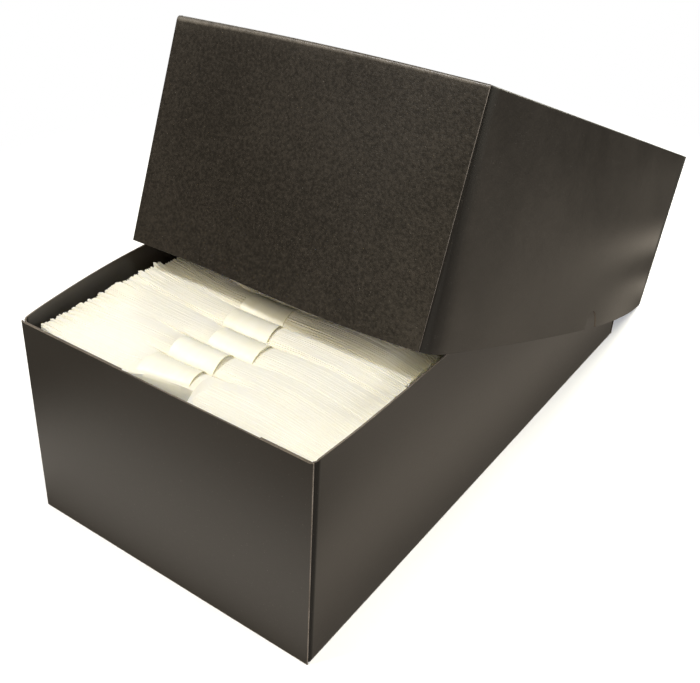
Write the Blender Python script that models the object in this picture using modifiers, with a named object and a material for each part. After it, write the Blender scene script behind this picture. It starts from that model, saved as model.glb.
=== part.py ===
"""Storage box for glassine envelopes: a folded board tray, its full-depth lid and the banded bundles inside.

Metres, +Z up. The origin is the middle of the tray's underside. X runs across the box and Y along it,
with the uncovered front end towards -Y. The lid stands as it was put down: its rear lower edge is on the
table behind the tray, and its front end is held up over the envelopes.
"""
import math

import bmesh
import bpy
from mathutils import Matrix, Vector

MM = 0.001
INCH = 25.4 * MM

# Envelopes and their bundles
ENVELOPE_LENGTH = 6.25 * INCH
ENVELOPE_HEIGHT = 4.125 * INCH
BUNDLE_COUNT = 20
BUNDLE_THICKNESS = 15.8 * MM
BUNDLE_CROWN = 2.0 * MM
BUNDLE_GAP = 0.3 * MM
LEAF_CLUMPS = 9
LEAF_RIDGE = 0.7 * MM
LEAF_STAGGER = 1.1 * MM
FRONT_SLACK = 8.0 * MM
CURL_DEPTH = 20.0 * MM
CURL_WIDTH = 52.0 * MM
CURL_POWER = 1.7
CURL_FULL_SHARE = 0.25
CURL_FADE_SHARE = 0.45

# Paper bands round the bundles
BAND_WIDTH = 27.0 * MM
BAND_PAPER = 0.3 * MM
BAND_CLEARANCE = 0.3 * MM

# Folded board and the room left inside it
BOARD = 0.8 * MM
SIDE_ROOM = 3.8 * MM
HEAD_ROOM = 5.2 * MM
ROW_CLEARANCE = 0.3 * MM
LID_SIDE_CLEARANCE = 0.4 * MM
LID_END_CLEARANCE = 1.55 * MM
LID_TOP_CLEARANCE = 1.1 * MM

# How the lid was put down
LID_FRONT_LIFT = 13.3 * MM
LID_REAR_STANDOFF = 55.6 * MM

# How far the thin walls stand out of flat
TRAY_LEFT_BOW = 14.8 * MM
TRAY_RIGHT_BOW = 2.5 * MM
TRAY_LEFT_PEAK_SHARE = 0.34
TRAY_RIGHT_PEAK_SHARE = 0.16
TRAY_BOW_POWER = 1.85
TRAY_SWELL_POWER = 1.5
LID_SIDE_BOW = 15.2 * MM
LID_RIGHT_SHOULDER = 5.6 * MM
LID_RIGHT_RUN = 4.4 * MM
LID_RIGHT_REACH = 153.0 * MM
LID_LEFT_RUN = 11.0 * MM
LID_LEFT_RISE_POWER = 1.5
LID_SWELL_POWER = 1.25
LID_FRONT_BOW = 3.5 * MM
LID_FRONT_WAVE = 3.6 * MM
LID_TOP_CROWN = 1.2 * MM

# Flaps, cut edges and thumb notches
TRAY_LEFT_FLAP = 64.0 * MM
TRAY_RIGHT_FLAP = 27.0 * MM
LID_FLAP = 45.0 * MM
TRAY_END_DROP = 2.0 * MM
FLAP_DROP = 0.3 * MM
FLAP_BITE = 0.1 * MM
SEAM_WIDTH = 0.25 * MM
SEAM_DEPTH = 0.3 * MM
THUMB_RADIUS = 10.5 * MM
THUMB_PLACE_SHARE = 0.53
THUMB_SIDES = 28
CUT_OVERRUN = 5.0 * MM
FLAT_TOLERANCE = 0.001 * MM

# Sizes that follow
BAND_STACK = BAND_CLEARANCE + BAND_PAPER
BUNDLE_PITCH = BUNDLE_THICKNESS + 2 * BAND_STACK + BUNDLE_GAP
BUNDLE_FLOOR = BOARD + BAND_CLEARANCE + BAND_STACK
ROW_LENGTH = FRONT_SLACK + BUNDLE_COUNT * BUNDLE_PITCH - BUNDLE_GAP
TRAY_WIDTH = ENVELOPE_LENGTH + 2 * (SIDE_ROOM + BOARD)
TRAY_LENGTH = ROW_LENGTH + 2 * (2 * BOARD + ROW_CLEARANCE)
TRAY_HEIGHT = BUNDLE_FLOOR + ENVELOPE_HEIGHT + HEAD_ROOM
LID_WIDTH = TRAY_WIDTH + 2 * (LID_SIDE_CLEARANCE + BOARD)
LID_LENGTH = TRAY_LENGTH + 2 * (LID_END_CLEARANCE + 2 * BOARD)
LID_HEIGHT = TRAY_HEIGHT + LID_TOP_CLEARANCE + BOARD
LID_TILT = math.asin((TRAY_HEIGHT + LID_FRONT_LIFT) / LID_LENGTH)
LID_REAR_PLACE = TRAY_LENGTH / 2 + LID_REAR_STANDOFF
ROW_START = -TRAY_LENGTH / 2 + 2 * BOARD + ROW_CLEARANCE

# Where the sheets are divided, as shares of their width, length or depth
ACROSS_SHARES = (0.06, 0.15, 0.26, 0.38, 0.5, 0.62, 0.74, 0.85, 0.94)
DEPTH_SHARES = (0.2, 0.4, 0.6, 0.8)
TRAY_ALONG_SHARES = (0.02, 0.05, 0.1, 0.14, 0.18, 0.22, 0.26, 0.3, 0.34, 0.38, 0.42, 0.46, 0.5,
                     0.54, 0.58, 0.63, 0.68, 0.74, 0.8, 0.9)
LID_ALONG_SHARES = (0.008, 0.02, 0.035, 0.055, 0.08, 0.11, 0.145, 0.18, 0.215, 0.25, 0.29, 0.33, 0.37,
                    0.41, 0.45, 0.5, 0.56, 0.63, 0.7, 0.78, 0.88)
BUNDLE_ALONG_SHARES = (0.06, 0.12, 0.18, 0.24, 0.3, 0.36, 0.6, 0.7, 0.8, 0.9)
CROWN_SHARES = (0.17, 0.5, 0.83)

# How far each band's middle stands from its bundle's, as shares of the band's width, from the front
BAND_SHIFT_SHARES = (-0.2, -0.22, 0.08, -0.18, -0.32, 0.04, -0.12, -0.26, 0.02, -0.15)
FLAP_SHARES = (0.25, 0.5, 0.75)

# Names of the guides that tilt with the lid
LID_GUIDES = ("lid_", "thumb_")

# Colours
BOARD_COLOUR = (0.032, 0.028, 0.023, 1.0)
BOARD_ROUGHNESS = 0.45
GLASSINE_COLOUR = (0.86, 0.84, 0.74, 1.0)
GLASSINE_ROUGHNESS = 0.4
BAND_COLOUR = (0.9, 0.89, 0.82, 1.0)
BAND_ROUGHNESS = 0.3


def start_collections():
    """Empty the scene and return the collections of the box and of its cutters."""
    for old in list(bpy.data.objects):
        bpy.data.objects.remove(old, do_unlink=True)
    made = []
    for name in ("glassine_storage_box", "cutters"):
        collection = bpy.data.collections.new(name)
        bpy.context.scene.collection.children.link(collection)
        made.append(collection)
    return made


def plain_material(name, colour, roughness):
    """A Principled material of one colour."""
    material = bpy.data.materials.new(name)
    material.use_nodes = True
    shader = material.node_tree.nodes["Principled BSDF"]
    shader.inputs["Base Color"].default_value = colour
    shader.inputs["Roughness"].default_value = roughness
    shader.inputs["Metallic"].default_value = 0.0
    return material


def divided_box(low, high, x_shares=(), y_shares=(), z_shares=()):
    """A cube stretched between two corners and divided by planes at shares of its three sizes."""
    low, high = Vector(low), Vector(high)
    size = high - low
    mesh = bmesh.new()
    bmesh.ops.create_cube(mesh, size=1.0)
    bmesh.ops.scale(mesh, vec=size, verts=mesh.verts)
    bmesh.ops.translate(mesh, vec=(low + high) / 2, verts=mesh.verts)
    for axis, shares in enumerate((x_shares, y_shares, z_shares)):
        normal = Vector((0.0, 0.0, 0.0))
        normal[axis] = 1.0
        for share in shares:
            place = low.copy()
            place[axis] += size[axis] * share
            geometry = mesh.verts[:] + mesh.edges[:] + mesh.faces[:]
            bmesh.ops.bisect_plane(mesh, geom=geometry, plane_co=place, plane_no=normal)
    return mesh


def drop_faces(mesh, axis, level):
    """Open a divided box by deleting the faces that lie flat at one level of one axis."""
    gone = [face for face in mesh.faces
            if all(abs(vert.co[axis] - level) < FLAT_TOLERANCE for vert in face.verts)]
    bmesh.ops.delete(mesh, geom=gone, context="FACES")


def make_object(name, mesh, collection, material=None):
    """Turn a bmesh into an object in one of the collections."""
    bmesh.ops.recalc_face_normals(mesh, faces=mesh.faces)
    data = bpy.data.meshes.new(name)
    mesh.to_mesh(data)
    mesh.free()
    made = bpy.data.objects.new(name, data)
    collection.objects.link(made)
    if material:
        data.materials.append(material)
    return made


def make_guide(name, mesh, collection):
    """An object that only cuts or joins another one."""
    guide = make_object(name, mesh, collection)
    guide.hide_render = True
    guide.display_type = "WIRE"
    return guide


def add_thickness(target, thickness):
    """Give an open sheet its thickness, inwards from its outer face."""
    solidify = target.modifiers.new("thickness", "SOLIDIFY")
    solidify.thickness = thickness
    solidify.offset = -1.0
    solidify.use_even_offset = True


def add_boolean(target, tool, operation):
    """Join a guide to an object, or cut it away."""
    boolean = target.modifiers.new(tool.name, "BOOLEAN")
    boolean.operation = operation
    boolean.solver = "EXACT"
    boolean.object = tool


def tray_side_bow(share, height_share, bow, peak_share):
    """How far a tray side stands out: nothing at its folds, most at its free rim."""
    skew = math.log(0.5) / math.log(peak_share)
    swing = max(0.0, math.sin(math.pi * share ** skew)) if 0 < share < 1 else 0.0
    return bow * swing ** TRAY_BOW_POWER * max(0.0, height_share) ** TRAY_SWELL_POWER


def lid_long_bow(along):
    """The even bow of a lid side along its free lower edge."""
    share = min(max(along / LID_LENGTH, 0.0), 1.0)
    return LID_SIDE_BOW * 4 * share * (1 - share)


def lid_right_bow(along, depth_share):
    """How far the right side of the lid stands out: its long bow and a shoulder behind the front corner."""
    fade = max(0.0, 1 - along / LID_RIGHT_REACH) ** 2
    corner = LID_RIGHT_SHOULDER * (1 - math.exp(-max(along, 0.0) / LID_RIGHT_RUN)) * fade
    return (lid_long_bow(along) + corner) * max(0.0, depth_share) ** LID_SWELL_POWER


def lid_left_bow(along, depth_share):
    """How far the left side of the lid stands out: far enough to pass the tray's bowed rim inside it."""
    to_rear = LID_LENGTH - along
    rim_height = (TRAY_HEIGHT - to_rear * math.sin(LID_TILT)) / math.cos(LID_TILT)
    rim_share = min(1.0, 1 - rim_height / LID_HEIGHT)
    rim_place = LID_REAR_PLACE - to_rear * math.cos(LID_TILT) + rim_height * math.sin(LID_TILT)
    rim_bow = tray_side_bow(rim_place / TRAY_LENGTH + 0.5, 1.0, TRAY_LEFT_BOW, TRAY_LEFT_PEAK_SHARE)
    pushed = rim_bow / max(rim_share, DEPTH_SHARES[0]) ** LID_SWELL_POWER
    rise = 1 - math.exp(-(max(along, 0.0) / LID_LEFT_RUN) ** LID_LEFT_RISE_POWER)
    return max(pushed * rise, lid_long_bow(along)) * max(0.0, depth_share) ** LID_SWELL_POWER


def lid_front_bow(across_share, depth_share):
    """How far the lid's front panel stands forward along its free lower edge."""
    single = LID_FRONT_BOW * math.sin(math.pi * across_share)
    double = LID_FRONT_WAVE * math.sin(2 * math.pi * across_share)
    return (single - double) * max(0.0, depth_share) ** TRAY_SWELL_POWER


def tray_end_drop(x, y):
    """How much lower than the sides an end panel and its flaps are cut. Next to the corners it runs out."""
    if abs(y) < TRAY_LENGTH / 2 - 3 * BOARD:
        return 0.0
    return TRAY_END_DROP * min(1.0, max(0.0, 0.5 - abs(x) / TRAY_WIDTH) / ACROSS_SHARES[0])


def bend_tray(mesh):
    """Stand the two long sides of the tray out of flat, each by its own bow, and lower its end panels."""
    for vert in mesh.verts:
        share = vert.co.y / TRAY_LENGTH + 0.5
        height_share = vert.co.z / TRAY_HEIGHT
        left = tray_side_bow(share, height_share, TRAY_LEFT_BOW, TRAY_LEFT_PEAK_SHARE)
        right = tray_side_bow(share, height_share, TRAY_RIGHT_BOW, TRAY_RIGHT_PEAK_SHARE)
        across = vert.co.x / (TRAY_WIDTH / 2)
        vert.co.z -= tray_end_drop(vert.co.x, vert.co.y) * max(0.0, height_share)
        vert.co.x += right * max(0.0, across) - left * max(0.0, -across)


def bend_lid(mesh):
    """Stand the lid's sides, front panel and top out of flat. Its mesh runs from y = -LID_LENGTH to 0."""
    for vert in mesh.verts:
        along = vert.co.y + LID_LENGTH
        depth_share = 1 - vert.co.z / LID_HEIGHT
        across_share = vert.co.x / LID_WIDTH + 0.5
        across = 2 * across_share - 1
        left, right = lid_left_bow(along, depth_share), lid_right_bow(along, depth_share)
        near_front = max(0.0, 1 - along / (LID_LENGTH / 2))
        forward = lid_front_bow(across_share, depth_share) * near_front
        crown = LID_TOP_CROWN * math.sin(math.pi * across_share) * (1 - depth_share)
        vert.co.x += right * max(0.0, across) - left * max(0.0, -across)
        vert.co.y -= forward
        vert.co.z += crown


def flap(name, side, reach_in, inner_face, inwards, width, height, rest, bend, guides):
    """An end flap of a side panel, folded in against the inner face of an end panel."""
    fold = side * (width / 2 - BOARD / 2)
    tip = side * (width / 2 - reach_in)
    near, far = inner_face - inwards * FLAP_BITE, inner_face + inwards * BOARD
    low = (min(fold, tip), min(near, far), rest)
    high = (max(fold, tip), max(near, far), height)
    mesh = divided_box(low, high, x_shares=FLAP_SHARES, z_shares=DEPTH_SHARES)
    bend(mesh)
    return make_guide(name, mesh, guides)


def seam_cutter(name, width, place_y, bottom, top, guides):
    """A thin slot through both sides, which leaves the cut edge of an end panel standing clear."""
    half = width / 2 + CUT_OVERRUN
    mesh = divided_box((-half, place_y - SEAM_WIDTH / 2, bottom), (half, place_y + SEAM_WIDTH / 2, top))
    inner = width / 2 - SEAM_DEPTH
    core = divided_box((-inner, place_y - SEAM_WIDTH, bottom - CUT_OVERRUN),
                       (inner, place_y + SEAM_WIDTH, top + CUT_OVERRUN))
    cutter = make_guide(name, mesh, guides)
    add_boolean(cutter, make_guide(name + "_core", core, guides), "DIFFERENCE")
    return cutter


def make_tray(parts, guides, board):
    """The tray: one blank folded into a bottom, two sides, two end panels and four inner flaps."""
    half_width, half_length = TRAY_WIDTH / 2, TRAY_LENGTH / 2
    mesh = divided_box((-half_width, -half_length, 0.0), (half_width, half_length, TRAY_HEIGHT),
                       ACROSS_SHARES, TRAY_ALONG_SHARES, DEPTH_SHARES)
    drop_faces(mesh, 2, TRAY_HEIGHT)
    bend_tray(mesh)
    tray = make_object("tray", mesh, parts, board)
    add_thickness(tray, BOARD)
    for end, inwards in (("front", 1), ("rear", -1)):
        inner_face = inwards * (BOARD - half_length)
        for side, hand, reach in (("left", -1, TRAY_LEFT_FLAP), ("right", 1, TRAY_RIGHT_FLAP)):
            piece = flap(f"tray_{end}_{side}_flap", hand, reach, inner_face, inwards, TRAY_WIDTH,
                         TRAY_HEIGHT - FLAP_DROP, BOARD - FLAP_BITE, bend_tray, guides)
            add_boolean(tray, piece, "UNION")
    for end, place in (("front", -half_length), ("rear", half_length)):
        inset = math.copysign(BOARD + SEAM_WIDTH / 2, place)
        cutter = seam_cutter(f"tray_{end}_seam", TRAY_WIDTH, place - inset, BOARD,
                             TRAY_HEIGHT + CUT_OVERRUN, guides)
        add_boolean(tray, cutter, "DIFFERENCE")
    return tray


def thumb_cutter(guides):
    """A round bar across the lid's lower edge, which leaves a half-round notch in each side."""
    mesh = bmesh.new()
    half_span = LID_WIDTH / 2 + LID_SIDE_BOW + TRAY_LEFT_BOW + CUT_OVERRUN
    turn = Matrix.Rotation(math.pi / 2, 4, "Y")
    place = Matrix.Translation((0.0, LID_LENGTH * (THUMB_PLACE_SHARE - 1), 0.0))
    bmesh.ops.create_cone(mesh, cap_ends=True, segments=THUMB_SIDES, radius1=THUMB_RADIUS,
                          radius2=THUMB_RADIUS, depth=2 * half_span, matrix=place @ turn)
    return make_guide("thumb_notch", mesh, guides)


def make_lid(parts, guides, board):
    """The lid: the same kind of blank, open below, with a thumb notch in each side."""
    half_width = LID_WIDTH / 2
    mesh = divided_box((-half_width, -LID_LENGTH, 0.0), (half_width, 0.0, LID_HEIGHT),
                       ACROSS_SHARES, LID_ALONG_SHARES, DEPTH_SHARES)
    drop_faces(mesh, 2, 0.0)
    bend_lid(mesh)
    lid = make_object("lid", mesh, parts, board)
    add_thickness(lid, BOARD)
    for end, inner_face, inwards in (("front", BOARD - LID_LENGTH, 1), ("rear", -BOARD, -1)):
        for side, hand in (("left", -1), ("right", 1)):
            piece = flap(f"lid_{end}_{side}_flap", hand, LID_FLAP, inner_face, inwards, LID_WIDTH,
                         LID_HEIGHT - BOARD + FLAP_BITE, FLAP_DROP, bend_lid, guides)
            add_boolean(lid, piece, "UNION")
    for end, place, inwards in (("front", -LID_LENGTH, 1), ("rear", 0.0, -1)):
        cutter = seam_cutter(f"lid_{end}_seam", LID_WIDTH, place + inwards * (BOARD + SEAM_WIDTH / 2),
                             -CUT_OVERRUN, LID_HEIGHT - BOARD, guides)
        add_boolean(lid, cutter, "DIFFERENCE")
    add_boolean(lid, thumb_cutter(guides), "DIFFERENCE")
    rear_edge = bpy.data.objects.new("lid_rear_edge", None)
    guides.objects.link(rear_edge)
    rear_edge.location = (0.0, LID_REAR_PLACE, 0.0)
    rear_edge.rotation_euler = (-LID_TILT, 0.0, 0.0)
    for item in [lid] + [guide for guide in guides.objects if guide.name.startswith(LID_GUIDES)]:
        if item is not rear_edge:
            item.parent = rear_edge
    return lid


def curl(x, row_share):
    """How far the left end of an envelope bends back at one place in the row."""
    into_curl = max(0.0, (CURL_WIDTH - ENVELOPE_LENGTH / 2 - x) / CURL_WIDTH)
    rising = min(1.0, row_share / CURL_FULL_SHARE)
    fading = min(1.0, (1 - row_share) / (1 - CURL_FADE_SHARE))
    return CURL_DEPTH * rising * fading * into_curl ** CURL_POWER


def slack(x, row_share):
    """How far the middle of an envelope stands back from the row's even spacing."""
    flat = BAND_WIDTH
    reach = ENVELOPE_LENGTH / 2 - flat
    outside = min(1.0, max(0.0, abs(x) - flat) / reach)
    return FRONT_SLACK * (1 - row_share) * math.cos(outside * math.pi / 2)


def row_line(x, place):
    """The Y of the row at X, where place counts bundles from the front wall."""
    row_share = place / BUNDLE_COUNT
    even = (ROW_LENGTH + BUNDLE_GAP) * row_share
    return ROW_START + even + slack(x, row_share) + curl(x, row_share)


def crown_drop(share):
    """How far a bundle's top lies below its middle, at a share of its thickness."""
    return BUNDLE_CROWN * (2 * share - 1) ** 2


def band_centre(number):
    """The X of a band's middle, which shifts a little from bundle to bundle."""
    return BAND_WIDTH * BAND_SHIFT_SHARES[(number - 1) % len(BAND_SHIFT_SHARES)]


def between_leaves(share):
    """Whether a share of a bundle's thickness falls in a groove between two clumps of envelopes."""
    return round(2 * LEAF_CLUMPS * share) % 2 == 0


def make_bundle(number, parts, glassine):
    """One bundle of envelopes on edge: a slab on the row's curved lines, with a crowned, leafed top and ends."""
    half = ENVELOPE_LENGTH / 2
    leaf_shares = [step / (2 * LEAF_CLUMPS) for step in range(1, 2 * LEAF_CLUMPS)]
    mesh = divided_box((-half, 0.0, 0.0), (half, 1.0, ENVELOPE_HEIGHT), BUNDLE_ALONG_SHARES, leaf_shares)
    underneath = [face for face in mesh.faces if face.calc_center_median().z < FLAT_TOLERANCE]
    bmesh.ops.dissolve_faces(mesh, faces=underneath)
    middle = (row_line(0.0, number - 1) + row_line(0.0, number) - BUNDLE_GAP) / 2
    for vert in mesh.verts:
        share = vert.co.y
        front = row_line(vert.co.x, number - 1) + BAND_STACK
        back = row_line(vert.co.x, number) - BUNDLE_GAP - BAND_STACK
        groove = between_leaves(share)
        if vert.co.z > 0:
            vert.co.z -= crown_drop(share) + (LEAF_RIDGE if groove else 0.0)
        if groove and abs(vert.co.x) > half - FLAT_TOLERANCE:
            vert.co.x -= math.copysign(LEAF_STAGGER, vert.co.x)
        vert.co.y = front + (back - front) * share - middle
    bundle = make_object(f"bundle_{number:02d}", mesh, parts, glassine)
    bundle.location = (0.0, middle, BUNDLE_FLOOR)
    return bundle


def make_band(number, parts, paper):
    """The paper band round one bundle: a closed loop over the top, down both faces and underneath."""
    front = row_line(0.0, number - 1)
    back = row_line(0.0, number) - BUNDLE_GAP
    half_thickness = (back - front) / 2
    low, high = -BAND_STACK, ENVELOPE_HEIGHT + BAND_STACK
    mesh = divided_box((-BAND_WIDTH / 2, -half_thickness, low), (BAND_WIDTH / 2, half_thickness, high),
                       y_shares=CROWN_SHARES)
    for edge_x in (-BAND_WIDTH / 2, BAND_WIDTH / 2):
        drop_faces(mesh, 0, edge_x)
    for vert in mesh.verts:
        if vert.co.z > 0:
            vert.co.z -= crown_drop(vert.co.y / (2 * half_thickness) + 0.5)
    band = make_object(f"band_{number:02d}", mesh, parts, paper)
    add_thickness(band, BAND_PAPER)
    band.location = (band_centre(number), (front + back) / 2, BUNDLE_FLOOR)
    return band


def main():
    """Build every piece of the box."""
    parts, guides = start_collections()
    board = plain_material("black_board", BOARD_COLOUR, BOARD_ROUGHNESS)
    lid_board = plain_material("black_lid_board", BOARD_COLOUR, BOARD_ROUGHNESS)
    make_tray(parts, guides, board)
    make_lid(parts, guides, lid_board)
    for number in range(1, BUNDLE_COUNT + 1):
        glassine = plain_material(f"glassine_{number:02d}", GLASSINE_COLOUR, GLASSINE_ROUGHNESS)
        paper = plain_material(f"band_paper_{number:02d}", BAND_COLOUR, BAND_ROUGHNESS)
        make_bundle(number, parts, glassine)
        make_band(number, parts, paper)


main()
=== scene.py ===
"""Looks of a glassine storage box: folded black board, a lid put down at a tilt and a row of banded envelopes.

Metres, +Z up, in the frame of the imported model. X runs across the box, Y along it from the uncovered front
end, and the origin lies under the middle of the tray.
"""
from __future__ import annotations

import logging
import math
import random
from dataclasses import dataclass, field
from enum import Enum
from typing import Callable, Sequence, Union

import bmesh
import bpy
from mathutils import Matrix, Vector, noise


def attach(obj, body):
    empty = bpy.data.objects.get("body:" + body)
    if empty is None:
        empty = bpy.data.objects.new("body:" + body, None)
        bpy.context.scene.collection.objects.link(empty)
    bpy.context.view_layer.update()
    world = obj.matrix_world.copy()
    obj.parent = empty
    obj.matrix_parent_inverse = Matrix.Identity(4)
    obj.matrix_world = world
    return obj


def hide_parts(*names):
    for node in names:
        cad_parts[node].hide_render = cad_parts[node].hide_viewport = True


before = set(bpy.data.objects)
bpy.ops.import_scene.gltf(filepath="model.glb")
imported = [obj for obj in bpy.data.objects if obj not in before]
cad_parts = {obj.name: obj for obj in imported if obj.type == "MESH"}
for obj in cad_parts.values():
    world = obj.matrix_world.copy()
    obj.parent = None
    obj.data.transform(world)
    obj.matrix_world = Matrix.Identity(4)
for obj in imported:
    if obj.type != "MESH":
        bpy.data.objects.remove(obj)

LOG = logging.getLogger("glassine_storage_box")
MM = 0.001
Value = Union["Socket", float, Sequence[float]]
Colour = tuple[float, float, float, float]
Materials = Sequence[bpy.types.Material]
WHITE: Colour = (1.0, 1.0, 1.0, 1.0)


class Hand(Enum):
    """A side of the box, seen from its front end."""

    LEFT = -1
    RIGHT = 1


class End(Enum):
    """An end of the box."""

    FRONT = "front"
    REAR = "rear"


def operator(operation: str, reflected: bool = False) -> Callable[[Socket, Value], Socket]:
    """Make an operator of a socket that adds a Math node.

    Args:
        operation: the node's operation.
        reflected: whether the other value comes first.

    Returns:
        The method.
    """

    def method(self: Socket, other: Value) -> Socket:
        """The result of the operation."""
        return self.sheet.maths(operation, *((other, self) if reflected else (self, other)))

    return method


class Socket:
    """One output of a shader node. Python's operators on it add the matching nodes."""

    def __init__(self, sheet: NodeSheet, output: bpy.types.NodeSocket) -> None:
        """Wrap an output."""
        self.sheet = sheet
        self.output = output

    __add__ = operator("ADD")
    __radd__ = operator("ADD", reflected=True)
    __sub__ = operator("SUBTRACT")
    __rsub__ = operator("SUBTRACT", reflected=True)
    __mul__ = operator("MULTIPLY")
    __rmul__ = operator("MULTIPLY", reflected=True)
    __truediv__ = operator("DIVIDE")
    __rtruediv__ = operator("DIVIDE", reflected=True)
    __pow__ = operator("POWER")
    __rpow__ = operator("POWER", reflected=True)

    def between(self, low: float, high: float) -> Socket:
        """Where the value lies between two limits, smoothed and kept from 0 to 1."""
        settings = {"interpolation_type": "SMOOTHSTEP", "clamp": True}
        return self.sheet.node("ShaderNodeMapRange", settings, {0: self, 1: low, 2: high, 3: 0.0, 4: 1.0})


class NodeSheet:
    """The nodes of one material or of the world."""

    def __init__(self, owner: bpy.types.Material | bpy.types.World) -> None:
        """Clear the owner's nodes.

        Args:
            owner: the material or world.
        """
        owner.use_nodes = True
        self.tree = owner.node_tree
        self.tree.nodes.clear()

    def node(self, kind: str, settings: dict[str, object] | None = None,
             sockets: dict[str | int, Value] | None = None, output: str | int = 0) -> Socket:
        """Add a node.

        Args:
            kind: the node's type.
            settings: its settings, set first. "stops" holds a colour ramp's stops.
            sockets: a value or a link for each input, by name or number.
            output: the output that is wanted.

        Returns:
            That output.
        """
        made = self.tree.nodes.new(kind)
        for key, value in (settings or {}).items():
            if key == "stops":
                self._ramp(made.color_ramp, value)
            else:
                setattr(made, key, value)
        for key, value in (sockets or {}).items():
            if isinstance(value, Socket):
                self.tree.links.new(value.output, made.inputs[key])
            else:
                made.inputs[key].default_value = value
        return Socket(self, made.outputs[output])

    def maths(self, operation: str, *values: Value) -> Socket:
        """Add a Math node and give it its values in order."""
        return self.node("ShaderNodeMath", {"operation": operation}, dict(enumerate(values)))

    @staticmethod
    def _ramp(ramp: bpy.types.ColorRamp, stops: Sequence[tuple[float, Sequence[float]]]) -> None:
        """Set a ramp's stops.

        Args:
            ramp: the ramp.
            stops: place and colour of each stop.
        """
        while len(ramp.elements) < len(stops):
            ramp.elements.new(0.5)
        for element, (place, colour) in zip(ramp.elements, stops):
            element.position = place
            element.color = colour

    def mix(self, share: Value, first: Value, second: Value) -> Socket:
        """Mix two colours."""
        return self.node("ShaderNodeMix", {"data_type": "RGBA"}, {0: share, 6: first, 7: second}, 2)

    def position(self) -> Socket:
        """The place on the piece, in metres."""
        return self.node("ShaderNodeTexCoord", output="Object")

    def noise(self, place: Socket, scale: float, detail: float = 2.0, rough: float = 0.5) -> Socket:
        """Fractal noise."""
        sockets = {"Vector": place, "Scale": scale, "Detail": detail, "Roughness": rough}
        return self.node("ShaderNodeTexNoise", {}, sockets)

    def stretched(self, place: Socket, scale: Sequence[float]) -> Socket:
        """The place with each axis scaled."""
        return self.node("ShaderNodeMapping", {}, {"Vector": place, "Scale": scale})

    def painted(self, name: str) -> Socket:
        """A value painted on the mesh's points."""
        return self.node("ShaderNodeAttribute", {"attribute_name": name}, output="Fac")

    def bump(self, height: Socket, strength: float, distance: float) -> Socket:
        """A normal roughened by a height."""
        return self.node("ShaderNodeBump", {}, {"Strength": strength, "Distance": distance, "Height": height})

    def surface(self, shader: Socket, target: str = "ShaderNodeOutputMaterial") -> None:
        """Send a shader to the output."""
        made = self.tree.nodes.new(target)
        self.tree.links.new(shader.output, made.inputs["Surface"])


@dataclass(frozen=True)
class Finish:
    """A finish that one Principled shader gives."""

    name: str
    roughness: float

    def sockets(self, sheet: NodeSheet, place: Socket) -> dict[str, Value]:
        """A value or a link for each socket of the shader that isn't left as it is."""
        raise NotImplementedError

    def material(self) -> bpy.types.Material:
        """Make the material.

        Returns:
            The material.
        """
        made = bpy.data.materials.new(self.name)
        sheet = NodeSheet(made)
        sheet.surface(sheet.node("ShaderNodeBsdfPrincipled", {}, self.sockets(sheet, sheet.position())))
        return made


@dataclass(frozen=True)
class BoardFinish(Finish):
    """Thin black card with a fine pebbled face, lighter on its folds (part wear, part painted highlight), with
    painted shade in the grooves behind the end panels.
    """

    name: str = "black_board"
    roughness: float = 0.33
    dark: Colour = (0.0215, 0.0182, 0.0147, 1.0)
    light: Colour = (0.032, 0.0273, 0.0222, 1.0)
    # Pale fold colour: part wear, part painted highlight along the folds.
    wear_and_highlight: Colour = (0.17, 0.15, 0.125, 1.0)
    # Painted shade: near-black colour of the grooves behind the end panels.
    crease_shade: Colour = (0.003, 0.0025, 0.002, 1.0)
    dust: Colour = (0.22, 0.2, 0.17, 1.0)
    grain: float = 0.16
    grain_depth: float = 0.12 * MM
    pebble: float = 1150.0
    mottle: float = 0.25
    pit: float = 1500.0
    cloud: float = 17.0
    fibre: float = 420.0
    rub: float = 300.0
    speck: float = 1900.0

    def sockets(self, sheet: NodeSheet, place: Socket) -> dict[str, Value]:
        """Clouds, fibres and pebbles set the tone; the folds' wear with painted highlight, painted shade in the
        grooves behind the end panels and dust specks lie over it.

        Args:
            sheet: the material's nodes.
            place: the place on the piece.

        Returns:
            The sockets.
        """
        pebbles = sheet.noise(place, self.pebble, 3.0, 0.62)
        pits = sheet.node("ShaderNodeTexVoronoi", {"feature": "F1"}, {"Vector": place, "Scale": self.pit},
                          "Distance")
        cloud = sheet.noise(place, self.cloud, 4.0, 0.55)
        fibre = sheet.noise(sheet.stretched(place, (1.0, 0.35, 1.0)), self.fibre, 3.0, 0.7)
        tone = (cloud * 0.55 + fibre * 0.3 + pebbles * self.mottle + 0.025 - self.mottle / 2).between(0.1, 0.9)
        colour = sheet.mix(tone, self.dark, self.light)
        # The fold paint holds wear with painted highlight above 0, and painted shade of the end-panel grooves
        # below 0.
        fold = sheet.painted("fold")
        rubbed = sheet.noise(place, self.rub, 3.0, 0.6).between(0.3, 0.7) * 0.5 + 0.5
        # Wear with painted highlight on the folds.
        wear = fold.between(0.0, 1.0) * rubbed
        colour = sheet.mix(wear * 0.8, colour, self.wear_and_highlight)
        # Painted shade in the grooves behind the end panels, where the fold paint is below 0.
        crease_shade = (fold * -1.0).between(0.0, 1.0)
        colour = sheet.mix(crease_shade * 0.9, colour, self.crease_shade)
        specks = sheet.noise(place, self.speck, 1.0, 0.4).between(0.765, 0.8)
        rough = cloud * 0.1 + pebbles * 0.14 + (self.roughness - 0.12) + wear * 0.1 + crease_shade * 0.55
        return {"Base Color": sheet.mix(specks * 0.5, colour, self.dust), "Roughness": rough, "IOR": 1.5,
                "Normal": sheet.bump(pebbles * 0.7 + pits * 0.5, self.grain, self.grain_depth)}


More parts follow.
